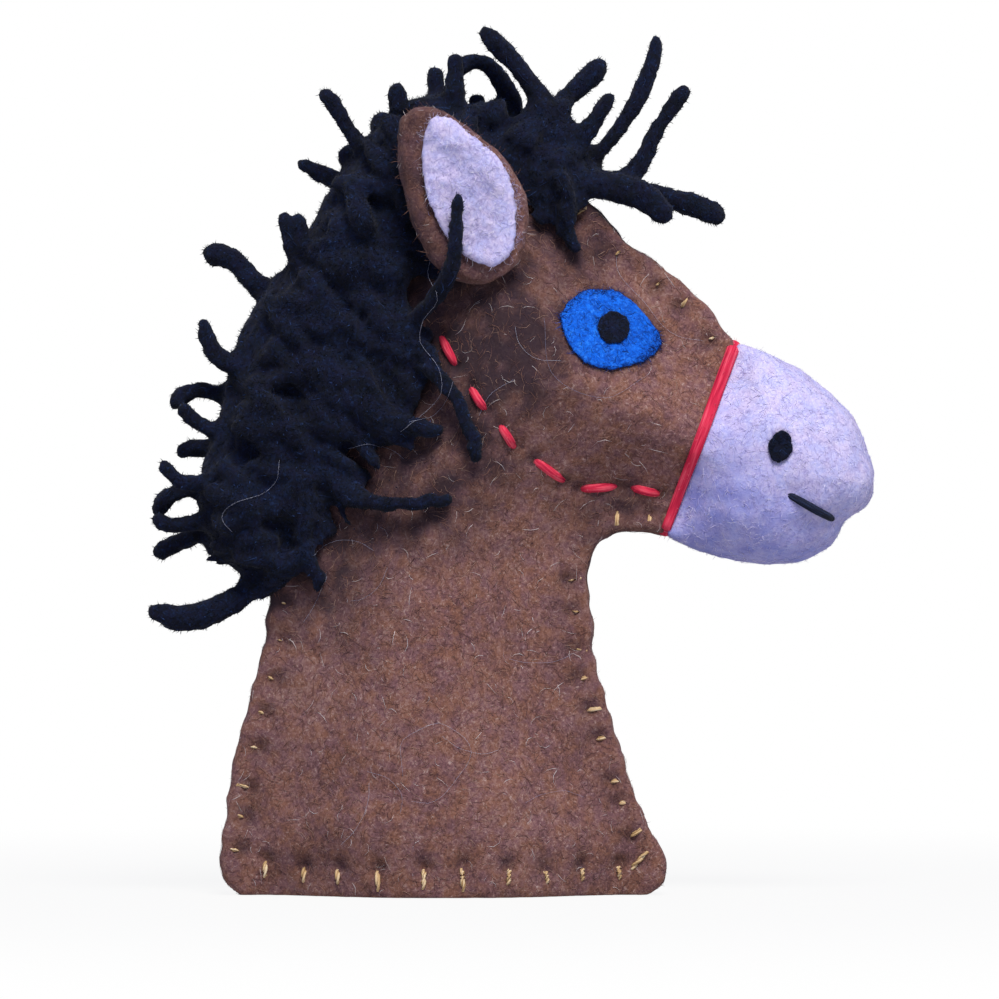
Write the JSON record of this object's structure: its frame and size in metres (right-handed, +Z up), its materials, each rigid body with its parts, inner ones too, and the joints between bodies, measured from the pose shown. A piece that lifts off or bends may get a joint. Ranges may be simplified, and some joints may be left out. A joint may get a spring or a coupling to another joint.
{
  "type": "felt finger puppet",
  "caption": "Felt finger puppet in the form of a horse's head and neck in profile, with a wool mane, lilac muzzle, red noseband and a finger pocket open at the hem.",
  "frame": {"origin": "on the surface the puppet stands on, under the centre of its overall box", "axes": "+X towards the horse's nose, +Y to its far side, +Z up"},
  "size_m": [0.0834, 0.0288, 0.0995],
  "materials": {
    "brown_felt": "fuzzy wool felt, mottled brown",
    "lilac_felt": "fuzzy wool felt, lilac pink",
    "white_wool": "loose undyed wool",
    "blue_felt": "fuzzy wool felt, bright blue",
    "black_wool": "matted black wool",
    "red_yarn": "twisted red yarn",
    "gold_thread": "gold sewing thread with a slight sheen",
    "dark_thread": "dark embroidery thread"
  },
  "bodies": {
    "root": {"body_panel_near": "brown_felt", "body_panel_far": "brown_felt", "head_stuffing": "white_wool", "muzzle": "lilac_felt", "noseband": "red_yarn", "strap_stitch_near_1": "red_yarn", "strap_stitch_near_2": "red_yarn", "strap_stitch_near_3": "red_yarn", "strap_stitch_near_4": "red_yarn", "strap_stitch_near_5": "red_yarn", "strap_stitch_near_6": "red_yarn", "strap_stitch_far_1": "red_yarn", "strap_stitch_far_2": "red_yarn", "strap_stitch_far_3": "red_yarn", "strap_stitch_far_4": "red_yarn", "strap_stitch_far_5": "red_yarn", "strap_stitch_far_6": "red_yarn", "eye_near": "blue_felt", "eye_far": "blue_felt", "pupil_near": "black_wool", "pupil_far": "black_wool", "nostril_near": "black_wool", "nostril_far": "black_wool", "mouth_stitch_near": "dark_thread", "mouth_stitch_far": "dark_thread", "ear_near": "brown_felt", "ear_far": "brown_felt", "ear_lining_near": "lilac_felt", "ear_lining_far": "lilac_felt", "mane": "black_wool", "seam_thread_back": "gold_thread", "seam_thread_front": "gold_thread", "seam_thread_forehead": "gold_thread", "hem_thread_near": "gold_thread", "hem_thread_far": "gold_thread"}
  },
  "joints": []
}
